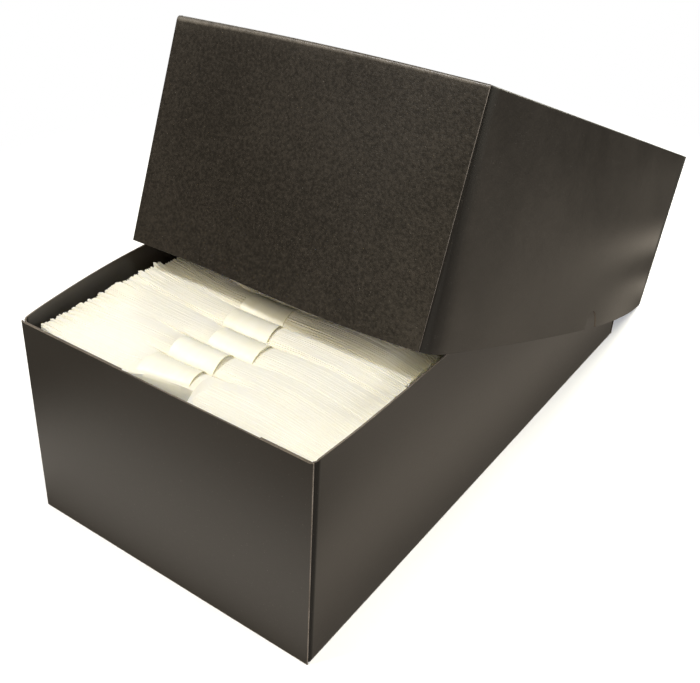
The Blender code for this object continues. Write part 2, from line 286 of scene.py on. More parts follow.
@dataclass(frozen=True)
class CutEdgeFinish(Finish):
    """The raw cut edge of the board: dyed brown pulp, lighter than its faces."""

    name: str = "cut_edge"
    roughness: float = 0.8
    dark: Colour = (0.06, 0.048, 0.037, 1.0)
    light: Colour = (0.17, 0.142, 0.115, 1.0)

    def sockets(self, sheet: NodeSheet, place: Socket) -> dict[str, Value]:
        """Pulp fibres, stained in places.

        Args:
            sheet: the material's nodes.
            place: the place on the piece.

        Returns:
            The sockets.
        """
        fibres = sheet.noise(place, 1600.0, 4.0, 0.7)
        stains = sheet.noise(place, 60.0, 3.0, 0.6)
        share = (fibres * 0.6 + stains * 0.5).between(0.35, 0.75)
        return {"Base Color": sheet.mix(share, self.dark, self.light), "Roughness": self.roughness,
                "Normal": sheet.bump(fibres, 0.4, 0.1 * MM)}


@dataclass(frozen=True)
class GlassineFinish(Finish):
    """Cream glassine: smooth, slightly see-through leaves whose tone changes a little from one to the next, more
    widely under the lid as painted shade.
    """

    name: str = "glassine"
    roughness: float = 0.42
    pale: Colour = (0.93, 0.895, 0.785, 1.0)
    deep: Colour = (0.84, 0.765, 0.53, 1.0)

    def sockets(self, sheet: NodeSheet, place: Socket) -> dict[str, Value]:
        """Each leaf's own tone, spread wider as painted shade under the lid, mottled and crinkled.

        Args:
            sheet: the material's nodes.
            place: the place on the piece.

        Returns:
            The sockets.
        """
        crinkle = sheet.noise(sheet.stretched(place, (1.0, 0.3, 0.3)), 160.0, 3.0, 0.6)
        mottle = sheet.noise(place, 45.0, 3.0, 0.6)
        share = (sheet.painted("tone") * 0.7 + mottle * 0.3 + crinkle * 0.2 - 0.25).between(0.1, 0.95)
        return {"Base Color": sheet.mix(share * 0.5, self.pale, self.deep),
                "Roughness": crinkle * 0.12 + (self.roughness - 0.06),
                "Subsurface Weight": 0.35, "Subsurface Radius": (1.0, 0.85, 0.5),
                "Subsurface Scale": 1.2 * MM, "Normal": sheet.bump(crinkle, 0.2, 0.2 * MM)}


@dataclass(frozen=True)
class BandFinish(Finish):
    """The glossy translucent paper of the bands, with yellow-green painted shade along one cut edge, where the
    lifted edge shows the shaded gap beneath.
    """

    name: str = "band_paper"
    roughness: float = 0.45
    pale: Colour = (0.91, 0.875, 0.735, 1.0)
    shade: Colour = (0.84, 0.795, 0.62, 1.0)
    # Painted shade: the yellow-green of the shaded gap under the band's lifted right edge.
    edge: Colour = (0.5, 0.46, 0.17, 1.0)

    def sockets(self, sheet: NodeSheet, place: Socket) -> dict[str, Value]:
        """Streaks along the paper, and painted shade along its right cut edge.

        Args:
            sheet: the material's nodes.
            place: the place on the piece.

        Returns:
            The sockets.
        """
        streaks = sheet.noise(sheet.stretched(place, (1.0, 0.12, 0.12)), 420.0, 3.0, 0.6)
        mottle = sheet.noise(place, 70.0, 3.0, 0.55)
        colour = sheet.mix((streaks * 0.5 + mottle * 0.5).between(0.3, 0.8) * 0.5, self.pale, self.shade)
        # Painted shade along the right cut edge, marked by the fold paint.
        edge = sheet.painted("fold").between(0.93, 0.99)
        return {"Base Color": sheet.mix(edge * 0.85, colour, self.edge),
                "Roughness": mottle * 0.12 + (self.roughness - 0.06),
                "Subsurface Weight": 0.25, "Subsurface Radius": (1.0, 0.85, 0.45),
                "Subsurface Scale": 1.0 * MM,
                "Normal": sheet.bump(streaks * 0.4 + mottle * 0.6, 0.15, 0.3 * MM)}


def sheet_mesh(columns: int, rows: int, place: Callable[[int, int], Vector],
               outward: Vector | None = None,
               wear: Callable[[int, int], float] = lambda column, row: 0.0) -> bmesh.types.BMesh:
    """A grid whose points are moved to where a rule puts them.

    Args:
        columns: points along the sheet.
        rows: points up the sheet.
        place: gives the point of a column and a row.
        outward: a direction that the faces turn to on the whole, if one is wanted.
        wear: how rubbed the point of a column and a row is, with painted highlight on folds, or painted shade
            where it is below 0; painted as "fold".

    Returns:
        The open sheet.
    """
    mesh = bmesh.new()
    bmesh.ops.create_grid(mesh, x_segments=columns - 1, y_segments=rows - 1, size=1.0)
    fold = mesh.verts.layers.float.new("fold")
    for vert in mesh.verts:
        column = round((vert.co.x + 1) / 2 * (columns - 1))
        row = round((vert.co.y + 1) / 2 * (rows - 1))
        vert.co = place(column, row)
        vert[fold] = wear(column, row)
    mesh.normal_update()
    if outward is not None:
        facing = sum((face.normal * face.calc_area() for face in mesh.faces), Vector())
        if facing.dot(outward) < 0:
            bmesh.ops.reverse_faces(mesh, faces=mesh.faces)
    return mesh


def smooth(value: float, low: float, high: float) -> float:
    """Where a value lies between two limits, eased and kept from 0 to 1."""
    share = min(1.0, max(0.0, (value - low) / (high - low)))
    return share * share * (3 - 2 * share)


def along_points(points: Sequence[tuple[float, float]], place: float) -> float:
    """Read a line that is given by points.

    Args:
        points: place and value of each, in order.
        place: where to read.

    Returns:
        The value, with the line's ends carried on level.
    """
    before = points[0]
    for point in points:
        if place < point[0]:
            if point is before:
                return point[1]
            return before[1] + (point[1] - before[1]) * smooth(place, before[0], point[0])
        before = point
    return before[1]


@dataclass
class Piece:
    """One finished piece: its mesh, what it is made of and what it moves with."""

    name: str
    mesh: bmesh.types.BMesh
    materials: Materials
    body: str
    node: str
    slot: str
    thickness: float = 0.0
    bevel: float = 0.0
    smooth_angle: float = 38.0
    bevel_angle: float = 50.0

    def make(self) -> bpy.types.Object:
        """Turn the mesh into an object with its thickness and edges, and hand it to the frame.

        Returns:
            The object.
        """
        data = bpy.data.meshes.new(self.name)
        self.mesh.to_mesh(data)
        self.mesh.free()
        made = bpy.data.objects.new(self.name, data)
        bpy.context.scene.collection.objects.link(made)
        for material in self.materials:
            data.materials.append(material)
        if self.thickness:
            self._thicken(made)
        made.data.shade_smooth()
        made.data.set_sharp_from_angle(angle=math.radians(self.smooth_angle))
        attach(made, self.body)
        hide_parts(self.node)
        LOG.info("%s: %d faces", self.name, len(made.data.polygons))
        return made

    def _thicken(self, made: bpy.types.Object) -> None:
        """Give the open sheet its thickness and its edges their wear, and keep the result as the mesh.

        Args:
            made: the object.
        """
        solid = made.modifiers.new("thickness", "SOLIDIFY")
        solid.thickness = self.thickness
        solid.offset = -1.0
        solid.use_even_offset = True
        solid.material_offset_rim = len(self.materials) - 1
        if self.bevel:
            bevel = made.modifiers.new("edges", "BEVEL")
            bevel.width = self.bevel
            bevel.segments = 1
            bevel.limit_method = "ANGLE"
            bevel.angle_limit = math.radians(self.bevel_angle)
        graph = bpy.context.evaluated_depsgraph_get()
        baked = bpy.data.meshes.new_from_object(made.evaluated_get(graph))
        made.modifiers.clear()
        made.data = baked


@dataclass
class FoldedBox:
    """A blank folded into a base, two sides with end flaps and two end panels, before its walls bow.

    A point is given as x across the box, y along it from its front face, and z from the base to the free edge.
    """

    name: str
    width: float
    length: float
    height: float
    left_flap: float
    right_flap: float
    board: float = 0.8 * MM
    fold_radius: float = 0.9 * MM
    corner_radius: float = 1.8 * MM
    panel_gap: float = 0.18 * MM
    side_clearance: float = 0.06 * MM
    flap_drop: float = 0.3 * MM
    fold_steps: int = 6
    level_steps: int = 14
    below_fold: float = 0.008
    corner_stops: tuple[float, ...] = (1.9 * MM, 4.0 * MM)
    # Per row up each fold: wear and painted highlight.
    fold_wear_and_highlight: tuple[float, ...] = (0.1, 0.35, 0.7, 0.95, 1.0, 0.7, 0.3, 0.05)
    step: float = 9.0 * MM
    edge_bevel: float = 0.09 * MM
    # Painted shade in the groove behind each end panel: how far it runs along the side, how dark it starts and
    # below what it stops.
    crease_run: float = 1.4 * MM
    crease_shade_depth: float = 0.85
    crease_shade_least: float = 0.05
    # How strongly the sides carry the fold paint of wear and painted highlight.
    side_wear_and_highlight: float = 1.0
    faces: Materials = field(default_factory=list)
    end_faces: Materials = field(default_factory=list)

    def bend(self, point: Vector) -> Vector:
        """Stand a point out with its wall."""
        raise NotImplementedError

    def to_world(self, point: Vector) -> Vector:
        """Place a point of the box in the frame."""
        raise NotImplementedError

    def edge_level(self, along: float) -> float:
        """How far a side reaches from the base."""
        return self.height

    def end_level(self, across: float) -> float:
        """How far an end panel reaches from the base."""
        return self.height

    def end_radius(self, across: float, end: End) -> float:
        """The radius of the fold between the base and an end panel."""
        return self.fold_radius

    def end_wear_and_highlight(self, end: End) -> Sequence[float]:
        """How rubbed each row of the fold of an end is, and the row below it, with painted highlight on the fold.
        """
        return self.fold_wear_and_highlight

    def side_stops(self) -> list[float]:
        """Extra places along a side that need a point."""
        return []

    @property
    def row_count(self) -> int:
        """How many rows of points a wall has."""
        return self.fold_steps + self.level_steps + 2

    def wall_point(self, x: float, y: float, facing: Vector, row: int, top: float, radius: float) -> Vector:
        """A point of a wall.

        Args:
            x: across the box.
            y: along the box.
            facing: the way the wall faces.
            row: the row of the wall, from the base to the free edge.
            top: the level of its free edge.
            radius: the radius of its fold.

        Returns:
            The point, in the frame.
        """
        angle = math.pi / 2 * min(1.0, row / self.fold_steps)
        above = max(0, row - self.fold_steps)
        share = self.below_fold if above == 1 else max(0.0, (above - 1) / self.level_steps)
        level = radius * (1 - math.cos(angle))
        point = Vector((x, y, level + (top - level) * share)) - facing * radius * (1 - math.sin(angle))
        return self.to_world(self.bend(point))

    def run(self, start: float, stop: float, extra: Sequence[float] = ()) -> list[float]:
        """Even places from one distance to another, with some more between.

        Args:
            start: the first.
            stop: the last.
            extra: more places to have.

        Returns:
            The places in order.
        """
        count = max(2, round(abs(stop - start) / self.step))
        places = [start + (stop - start) * part / count for part in range(count + 1)]
        near = [place for place in places[1:-1] if all(abs(place - other) > 1.5 * MM for other in extra)]
        return sorted([places[0], places[-1], *near, *extra], reverse=stop < start)

    def side_path(self, hand: Hand) -> list[tuple[float, float, Vector, bool]]:
        """The line of a side and its two flaps, seen from the base.

        Args:
            hand: which side.

        Returns:
            For each point x, y, the way it faces and whether it is on a flap.
        """
        reach = self.left_flap if hand is Hand.LEFT else self.right_flap
        half, radius = self.width / 2, self.corner_radius
        inside = self.board + self.panel_gap
        path: list[tuple[float, float, Vector, bool]] = []
        for x in self.run(half - reach, half - radius, [half - stop for stop in self.corner_stops])[:-1]:
            path.append((x, inside, Vector((0, -1, 0)), True))
        for turn in range(self.fold_steps + 1):
            angle = math.pi / 2 * turn / self.fold_steps
            facing = Vector((math.sin(angle), -math.cos(angle), 0))
            path.append((half - radius + radius * facing.x, inside + radius + radius * facing.y, facing, False))
        first, last = inside + radius, self.length - inside - radius
        stops = [first + self.crease_run * share for share in (0.5, 1.0)]
        stops += [self.length - stop for stop in stops]
        for y in self.run(first, last, stops + self.side_stops())[1:-1]:
            path.append((half, y, Vector((1, 0, 0)), False))
        middle = self.length / 2
        front = [item for item in path if item[1] < middle and not item[2].x == 1 or item[3]]
        rear = [(x, self.length - y, Vector((facing.x, -facing.y, 0)), flap) for x, y, facing, flap in front]
        path += rear[::-1]
        sign = hand.value
        return [(sign * x, y, Vector((sign * facing.x, facing.y, 0)), flap) for x, y, facing, flap in path]

    def side(self, hand: Hand) -> None:
        """Make a side with its flaps.

        Args:
            hand: which side.
        """
        path = self.side_path(hand)

        def place(column: int, row: int) -> Vector:
            """The point of a column and a row.

            Args:
                column: the column.
                row: the row.

            Returns:
                The point.
            """
            x, y, facing, flap = path[column]
            top = self.edge_level(y) if abs(facing.x) == 1 else self.end_level(x)
            end = End.FRONT if y < self.length / 2 else End.REAR
            radius = self.end_radius(x, end) if flap else self.fold_radius
            return self.wall_point(x, y, facing, row, top - (self.flap_drop if flap else 0.0), radius)

        def wear(column: int, row: int) -> float:
            """How rubbed the point of a column and a row is, with painted highlight on the fold, or below 0 for
            painted shade in the groove behind an end panel.

            Args:
                column: the column.
                row: the row.

            Returns:
                The wear.
            """
            _, y, facing, _ = path[column]
            beyond = min(y, self.length - y) - self.board - self.panel_gap - self.corner_radius
            # Painted shade: the groove behind the end panel is darkened through the fold paint.
            crease_shade = 0.0
            if beyond < self.crease_run:
                crease_shade = max(abs(facing.y), self.crease_shade_depth * (1 - beyond / self.crease_run))
            return -crease_shade if crease_shade > self.crease_shade_least else self._row_wear_and_highlight(self.fold_wear_and_highlight, row) * self.side_wear_and_highlight

        outward = self.to_world(Vector((hand.value, 0, 0))) - self.to_world(Vector())
        mesh = sheet_mesh(len(path), self.row_count, place, outward, wear)
        self._piece(f"{self.name}_{hand.name.lower()}_side", mesh, self.faces)

    def end_panel(self, end: End) -> None:
        """Make an end panel.

        Args:
            end: which end.
        """
        half = self.width / 2 - self.side_clearance
        stops = [half - stop for stop in self.corner_stops]
        columns = self.run(-half, half, [-stop for stop in stops] + stops)
        at_front = end is End.FRONT
        facing = Vector((0, -1 if at_front else 1, 0))
        y = 0.0 if at_front else self.length

        def place(column: int, row: int) -> Vector:
            """The point of a column and a row."""
            x = columns[column]
            return self.wall_point(x, y, facing, row, self.end_level(x), self.end_radius(x, end))

        def wear(column: int, row: int) -> float:
            """How rubbed the point of a column and a row is, with painted highlight on the fold."""
            return self._row_wear_and_highlight(self.end_wear_and_highlight(end), row)

        outward = self.to_world(facing) - self.to_world(Vector())
        mesh = sheet_mesh(len(columns), self.row_count, place, outward, wear)
        self._piece(f"{self.name}_{end.value}_panel", mesh, self.end_faces or self.faces)

    def base(self) -> None:
        """Make the base between the four folds."""
        half = self.width / 2 - self.fold_radius
        columns = self.run(-half, half)
        rows = self.run(0.0, self.length)

        def place(column: int, row: int) -> Vector:
            """The point of a column and a row.

            Args:
                column: the column.
                row: the row.

            Returns:
                The point.
            """
            x = columns[column]
            first, last = self.end_radius(x, End.FRONT), self.length - self.end_radius(x, End.REAR)
            y = first + (last - first) * rows[row] / self.length
            return self.to_world(self.bend(Vector((x, y, 0.0))))

        outward = self.to_world(Vector((0, 0, -1))) - self.to_world(Vector())
        self._piece(f"{self.name}_base", sheet_mesh(len(columns), len(rows), place, outward), self.faces)

    @staticmethod
    def _row_wear_and_highlight(wear: Sequence[float], row: int) -> float:
        """How rubbed a row of a wall is, with painted highlight on its fold."""
        return wear[row] if row < len(wear) else 0.0

    def _piece(self, name: str, mesh: bmesh.types.BMesh, faces: Materials) -> None:
        """Finish one panel of the box."""
        Piece(name, mesh, faces, self.name, self.name, f"{self.name}_board", self.board, self.edge_bevel).make()

    def build(self) -> None:
        """Make every panel."""
        self.base()
        for hand in Hand:
            self.side(hand)
        for end in End:
            self.end_panel(end)


@dataclass
class Tray(FoldedBox):
    """The tray that the envelopes stand in. Its two long sides bow out at their rims."""

    name: str = "tray"
    width: float = 167.95 * MM
    length: float = 357.5 * MM
    height: float = 111.675 * MM
    left_flap: float = 64.0 * MM
    right_flap: float = 27.0 * MM
    left_bow: float = 14.8 * MM
    right_bow: float = 2.5 * MM
    left_peak: float = 0.34
    right_peak: float = 0.16
    bow_power: float = 1.85
    swell_power: float = 1.5
    end_drop: float = 2.0 * MM
    end_ramp: float = 0.011
    corner_drop: float = 1.2 * MM
    corner_run: float = 5.0 * MM

    def end_level(self, across: float) -> float:
        """How far an end panel reaches: a little less than the sides."""
        inward = max(0.0, 0.5 - abs(across) / self.width) / self.end_ramp
        return self.height - self.corner_drop - (self.end_drop - self.corner_drop) * min(1.0, inward)

    def edge_level(self, along: float) -> float:
        """How far a side reaches from the base: a little less at its two ends."""
        inward = max(0.0, min(along, self.length - along) - self.board) / self.corner_run
        return self.height - self.corner_drop * math.exp(-inward)

    def side_stops(self) -> list[float]:
        """Close points behind the front corner."""
        return [self.corner_run * part for part in (1.1, 1.7, 2.6)]

    def side_bow(self, share: float, height_share: float, bow: float, peak: float) -> float:
        """How far a side stands out.

        Args:
            share: place along the side.
            height_share: place up the side.
            bow: the most that it stands out.
            peak: where along the side it does.

        Returns:
            The distance.
        """
        if not 0 < share < 1:
            return 0.0
        swing = max(0.0, math.sin(math.pi * share ** (math.log(0.5) / math.log(peak))))
        return bow * swing ** self.bow_power * max(0.0, height_share) ** self.swell_power

    def bend(self, point: Vector) -> Vector:
        """Stand a point out with its wall.

        Args:
            point: a point of the flat-walled box.

        Returns:
            The point of the real box.
        """
        share, height_share = point.y / self.length, point.z / self.height
        left = self.side_bow(share, height_share, self.left_bow, self.left_peak)
        right = self.side_bow(share, height_share, self.right_bow, self.right_peak)
        across = point.x / (self.width / 2)
        return point + Vector((right * max(0.0, across) - left * max(0.0, -across), 0, 0))

    def to_world(self, point: Vector) -> Vector:
        """Place a point of the tray in the frame."""
        return Vector((point.x, point.y - self.length / 2, point.z))


@dataclass
class Lid(FoldedBox):
    """The lid, base up, its rear edge on the table and its front end held up by the tray's bowed side."""

    name: str = "lid"
    width: float = 170.35 * MM
    length: float = 363.8 * MM
    height: float = 113.575 * MM
    left_flap: float = 45.0 * MM
    right_flap: float = 45.0 * MM
    front_lift: float = 13.3 * MM
    rear_standoff: float = 55.6 * MM
    side_bow: float = 15.2 * MM
    # The painted shade behind the lid's end panels runs 10 mm along its sides, and its sides keep little of the
    # fold paint of wear and painted highlight.
    crease_run: float = 10.0 * MM
    side_wear_and_highlight: float = 0.15
    right_shoulder: float = 5.6 * MM
    right_run: float = 4.4 * MM
    right_reach: float = 153.0 * MM
    left_run: float = 11.0 * MM
    rise_power: float = 1.5
    swell_power: float = 1.25
    front_bow: float = 3.5 * MM
    front_wave: float = 3.6 * MM
    top_crown: float = 1.2 * MM
    thumb_radius: float = 10.5 * MM
    thumb_share: float = 0.53
    thumb_steps: int = 16
    front_radii: tuple[float, float] = (2.3 * MM, 1.0 * MM)
    # The lid front's fold: wear with painted highlight, strongest along its lower half.
    front_wear_and_highlight: tuple[float, ...] = (0.0, 0.0, 0.1, 0.45, 0.9, 1.0, 0.75, 0.2)
    tray: Tray = field(default_factory=Tray)

    @property
    def tilt(self) -> float:
        """The angle that the lid was put down at."""
        return math.asin((self.tray.height + self.front_lift) / self.length)

    @property
    def rear_place(self) -> float:
        """Where the rear lower edge stands."""
        return self.tray.length / 2 + self.rear_standoff

    def long_bow(self, along: float) -> float:
        """The even bow of a side along its free edge."""
        share = min(max(along / self.length, 0.0), 1.0)
        return self.side_bow * 4 * share * (1 - share)

    def right_bow(self, along: float) -> float:
        """How far the right side's free edge stands out.

        Args:
            along: distance from the front face.

        Returns:
            The distance.
        """
        fade = max(0.0, 1 - along / self.right_reach) ** 2
        corner = self.right_shoulder * (1 - math.exp(-max(along, 0.0) / self.right_run)) * fade
        return self.long_bow(along) + corner

    def left_bow(self, along: float) -> float:
        """How far the left side's free edge stands out, to pass outside the tray's bowed rim.

        Args:
            along: distance from the front face.

        Returns:
            The distance.
        """
        to_rear = self.length - along
        rim_height = (self.tray.height - to_rear * math.sin(self.tilt)) / math.cos(self.tilt)
        rim_share = min(1.0, 1 - rim_height / self.height)
        rim_place = self.rear_place - to_rear * math.cos(self.tilt) + rim_height * math.sin(self.tilt)
        rim_bow = self.tray.side_bow(rim_place / self.tray.length + 0.5, 1.0, self.tray.left_bow,
                                     self.tray.left_peak)
        pushed = rim_bow / max(rim_share, 0.2) ** self.swell_power
        rise = 1 - math.exp(-(max(along, 0.0) / self.left_run) ** self.rise_power)
        return max(pushed * rise, self.long_bow(along))

    def bend(self, point: Vector) -> Vector:
        """Stand a point out with its wall.

        Args:
            point: a point of the flat-walled box.

        Returns:
            The point of the real box.
        """
        depth = max(0.0, point.z / self.height)
        across_share = point.x / self.width + 0.5
        across = 2 * across_share - 1
        swell = depth ** self.swell_power
        aside = self.right_bow(point.y) * max(0.0, across) - self.left_bow(point.y) * max(0.0, -across)
        wave = (self.front_bow * math.sin(math.pi * across_share)
                - self.front_wave * math.sin(2 * math.pi * across_share))
        forward = wave * depth ** 1.5 * max(0.0, 1 - point.y / (self.length / 2))
        crown = self.top_crown * math.sin(math.pi * across_share) * (1 - depth)
        return point + Vector((aside * swell, -forward, -crown))

    def to_world(self, point: Vector) -> Vector:
        """Place a point of the lid in the frame.

        Args:
            point: a point of the box.

        Returns:
            Its place in the frame.
        """
        turned = Matrix.Rotation(-self.tilt, 3, "X") @ Vector(
            (point.x, point.y - self.length, self.height - point.z))
        return turned + Vector((0, self.rear_place, 0))

    def end_radius(self, across: float, end: End) -> float:
        """The radius of an end's fold: the front one is rounder towards the left.

        Args:
            across: place across the box.
            end: which end.

        Returns:
            The radius.
        """
        if end is End.REAR:
            return self.fold_radius
        left, right = self.front_radii
        return right + (left - right) * max(0.0, 0.5 - across / self.width) ** 1.5

    def end_wear_and_highlight(self, end: End) -> Sequence[float]:
        """How rubbed an end's fold is, with painted highlight: the front one along its lower half."""
        return self.front_wear_and_highlight if end is End.FRONT else self.fold_wear_and_highlight

    def edge_level(self, along: float) -> float:
        """How far a side reaches from the base, less the thumb notch.

        Args:
            along: distance from the front face.

        Returns:
            The level of the free edge.
        """
        aside = abs(along - self.length * self.thumb_share)
        if aside >= self.thumb_radius:
            return self.height
        return self.height - math.sqrt(self.thumb_radius ** 2 - aside ** 2)

    def side_stops(self) -> list[float]:
        """The points round the thumb notch, and close ones behind the front corner.

        Returns:
            Distances from the front face.
        """
        middle = self.length * self.thumb_share
        turns = [math.pi * step / self.thumb_steps for step in range(self.thumb_steps + 1)]
        notch = [middle - self.thumb_radius * math.cos(turn) for turn in turns]
        corner = [self.right_run * part for part in (1.7, 2.4, 3.1, 4.0)]
        return corner + notch


@dataclass
class EnvelopeRow:
    """The row of envelopes: the lines that they follow, seen from above, and the bundles' places."""

    length: float = 158.75 * MM
    height: float = 104.775 * MM
    count: int = 20
    pitch: float = 17.3 * MM
    gap: float = 0.3 * MM
    floor: float = 1.7 * MM
    slack_depth: float = 8.0 * MM
    curl_depth: float = 20.0 * MM
    curl_width: float = 52.0 * MM
    curl_power: float = 1.7
    curl_full: float = 0.25
    curl_fade: float = 0.45
    flat: float = 27.0 * MM
    start: float = -176.85 * MM
    front_line: tuple[tuple[float, float], ...] = (
        (-79.4, -172.5), (-65.0, -174.5), (-32.0, -175.5), (-22.0, -172.0), (-13.0, -167.6), (7.0, -165.3),
        (10.0, -165.3), (14.0, -176.2), (79.4, -176.6))
    left_reach: float = 4.2 * MM
    covered: int = 5
    open_room: float = 0.03 * MM
    covered_room: float = 0.22 * MM
    stack: float = 0.3 * MM
    stack_reach: tuple[float, float] = (14.0 * MM, 24.0 * MM)
    right_reach: float = 3.0 * MM

    def front(self, x: float, number: int) -> float:
        """The y of a bundle's first leaf.

        Args:
            x: place across the box.
            number: the bundle's number, from 1.

        Returns:
            The y.
        """
        if number == 1:
            return along_points(self.front_line, x / MM) * MM
        return self.line(x, number - 1) + self._room(x, number)

    def back(self, x: float, number: int) -> float:
        """The y of the back of a bundle's last leaf."""
        return self.line(x, number) - self._room(x, number) * 2

    def _room(self, x: float, number: int) -> float:
        """The room between two bundles: most at the bands, and more for those that lift out under the lid."""
        least = self.covered_room if number >= self.covered else self.open_room
        return least + self.stack * (1 - smooth(abs(x + self.stack_reach[0] / 3), *self.stack_reach))

    def spread(self, share: float) -> tuple[float, float]:
        """How far the leaves reach past their nominal length to the left and the right, by the row's share."""
        left = smooth(share, 0.02, 0.16) * (1 - smooth(share, 0.25, 0.3))
        return self.left_reach * left, self.right_reach * (1 - smooth(share, 0.19, 0.215))

    def curl(self, x: float, share: float) -> float:
        """How far the left end of an envelope bends back.

        Args:
            x: place across the box.
            share: place along the row.

        Returns:
            The distance.
        """
        into = max(0.0, (self.curl_width - self.length / 2 - x) / self.curl_width)
        rising = min(1.0, share / self.curl_full)
        fading = min(1.0, (1 - share) / (1 - self.curl_fade))
        return self.curl_depth * rising * fading * into ** self.curl_power

    def slack(self, x: float, share: float) -> float:
        """How far the middle of an envelope stands back from even spacing."""
        outside = min(1.0, max(0.0, abs(x) - self.flat) / (self.length / 2 - self.flat))
        return self.slack_depth * (1 - share) * math.cos(outside * math.pi / 2)

    def line(self, x: float, place: float) -> float:
        """The y of the row at one place across the box.

        Args:
            x: place across the box.
            place: bundles counted from the front.

        Returns:
            The y.
        """
        share = place / self.count
        even = (self.slack_depth + self.count * self.pitch) * share
        return self.start + even + self.slack(x, share) + self.curl(x, share)


@dataclass(frozen=True)
class Leaf:
    """What sets one leaf of a bundle apart from the others."""

    index: int
    shift: float
    splay: float
    low: float
    drawn_back: float
    tone: float
    seed: float


@dataclass
class Bundle:
    """One bundle: its standing leaves, which hold together in clumps."""

    number: int
    row: EnvelopeRow
    material: bpy.types.Material
    leaves: int = 44
    columns: int = 12
    fill: float = 0.985
    clump_sizes: tuple[int, int] = (3, 5)
    clump_shift: float = 0.8
    clump_splay: float = 0.35
    leaf_shift: float = 0.2
    leaf_splay: float = 0.12
    first_low: tuple[int, int] = (1, 4)
    next_low: tuple[int, int] = (3, 5)
    lit_low: float = 0.16
    lit_tone: float = 0.15
    clump_arc: float = 0.8 * MM
    lows: tuple[float, float] = (0.25 * MM, 0.9 * MM)
    valley: tuple[float, float] = (0.35 * MM, 2.2 * MM)
    valley_reach: tuple[float, float] = (14.0 * MM, 36.0 * MM)
    valley_middle: float = 0.0
    tip: float = 0.16
    ease: float = 1.32
    loose: float = 1.0
    end_drop: float = 0.0
    tip_drop: float = 0.4 * MM
    back_drop: float = 1.3 * MM
    back_draw: float = 1.1 * MM
    wave_rate: float = 28.0
    wave: tuple[float, float] = (0.08, 0.2)
    foot_share: float = 0.35
    shade_span: tuple[float, float] = (0.12, 0.24)

    @property
    def shade(self) -> float:
        """How far the bundle stands in the lid's shade, where its leaves look less even."""
        return smooth((self.number - 0.5) / self.row.count, *self.shade_span)

    def template(self) -> bpy.types.Mesh:
        """A unit leaf, divided along its length.

        Returns:
            The mesh.
        """
        mesh = bmesh.new()
        bmesh.ops.create_cube(mesh, size=1.0)
        bmesh.ops.translate(mesh, vec=(0.5, 0.5, 0.5), verts=mesh.verts)
        long_edges = [edge for edge in mesh.edges
                      if abs(edge.verts[0].co.x - edge.verts[1].co.x) > 0.5]
        bmesh.ops.subdivide_edges(mesh, edges=long_edges, cuts=self.columns - 1)
        data = bpy.data.meshes.new("leaf")
        mesh.to_mesh(data)
        mesh.free()
        return data

    def leaf_list(self) -> list[Leaf]:
        """Settle what each leaf is like.

        Returns:
            The leaves, from the front.
        """
        chance = random.Random(100 + self.number)
        shade = self.shade
        made: list[Leaf] = []
        next_low = chance.randint(*self.first_low)
        while len(made) < self.leaves:
            size = chance.randint(*self.clump_sizes)
            shift = chance.gauss(0.0, self.clump_shift * self.loose)
            splay = chance.gauss(0.0, self.clump_splay * self.loose)
            for place in range(min(size, self.leaves - len(made))):
                arc = 1 - (2 * (place + 0.5) / size - 1) ** 2
                low = 0.0
                if len(made) >= next_low:
                    low = chance.uniform(*self.lows) * (self.lit_low + (1 - self.lit_low) * shade)
                    next_low = len(made) + chance.randint(*self.next_low)
                # The tone spread is narrow on the lit leaves and wide in the lid's shade: painted shade as darker
                # lines among the shaded leaves.
                tone = 0.5 + (chance.random() - 0.5) * (self.lit_tone + (1 - self.lit_tone) * shade)
                made.append(Leaf(len(made),
                                 (shift + chance.gauss(0, self.leaf_shift)) * MM - arc * self.clump_arc,
                                 (splay + chance.gauss(0, self.leaf_splay) * self.loose) * MM, low,
                                 1.0 if place == 0 else 0.0, tone, chance.uniform(0, 100)))
        return made

    def make(self) -> None:
        """Make the bundle's leaves as one piece."""
        template = self.template()
        mesh = bmesh.new()
        tone = mesh.verts.layers.float.new("tone")
        for leaf in self.leaf_list():
            start = len(mesh.verts)
            mesh.from_mesh(template)
            mesh.verts.ensure_lookup_table()
            self._bend_leaf(mesh.verts[start:], leaf, tone)
        bpy.data.meshes.remove(template)
        name = f"bundle_{self.number:02d}"
        Piece(f"{name}_leaves", mesh, [self.material], name, name, "glassine", smooth_angle=50.0).make()

    def _bend_leaf(self, verts: Sequence[bmesh.types.BMVert], leaf: Leaf,
                   tone: bmesh.types.BMLayerItem) -> None:
        """Move a unit leaf to its place in the bundle.

        Args:
            verts: the leaf's points.
            leaf: what the leaf is like.
            tone: the layer that its tone is painted on.
        """
        row, shade = self.row, self.shade
        share = (leaf.index + 0.5) / self.leaves
        left, right = row.spread((self.number - 1 + share) / row.count)
        for vert in verts:
            along = vert.co.x ** self.ease
            x = -row.length / 2 + row.length * along
            front, back = row.front(x, self.number), row.back(x, self.number)
            y = front + (back - front) / self.leaves * (leaf.index + vert.co.y * self.fill)
            tip = max(0.0, 1 - along / self.tip) ** 2
            end = max(0.0, (along - 1 + self.tip) / self.tip) ** 2
            near = 1 - smooth(abs(x - self.valley_middle), *self.valley_reach)
            dip = (self.valley[0] + (self.valley[1] - self.valley[0]) * near) * (2 * share - 1) ** 2
            swing = noise.noise(Vector((x * self.wave_rate, leaf.seed, 0.0)))
            wave = swing * (self.wave[0] + self.wave[1] * shade) * MM
            lower = (leaf.low + dip + self.tip_drop * tip + self.back_drop * tip * leaf.drawn_back
                     + self.end_drop * (end + tip))
            height = row.height - lower + wave
            upright = self.foot_share + (1 - self.foot_share) * vert.co.z
            reach = leaf.shift * (tip + 0.5 * end) - left * (1 - along) + right * along
            drawn = self.back_draw * tip * leaf.drawn_back
            vert.co = Vector((x + reach * upright + drawn, y + leaf.splay * tip,
                              row.floor + vert.co.z * height))
            vert[tone] = leaf.tone


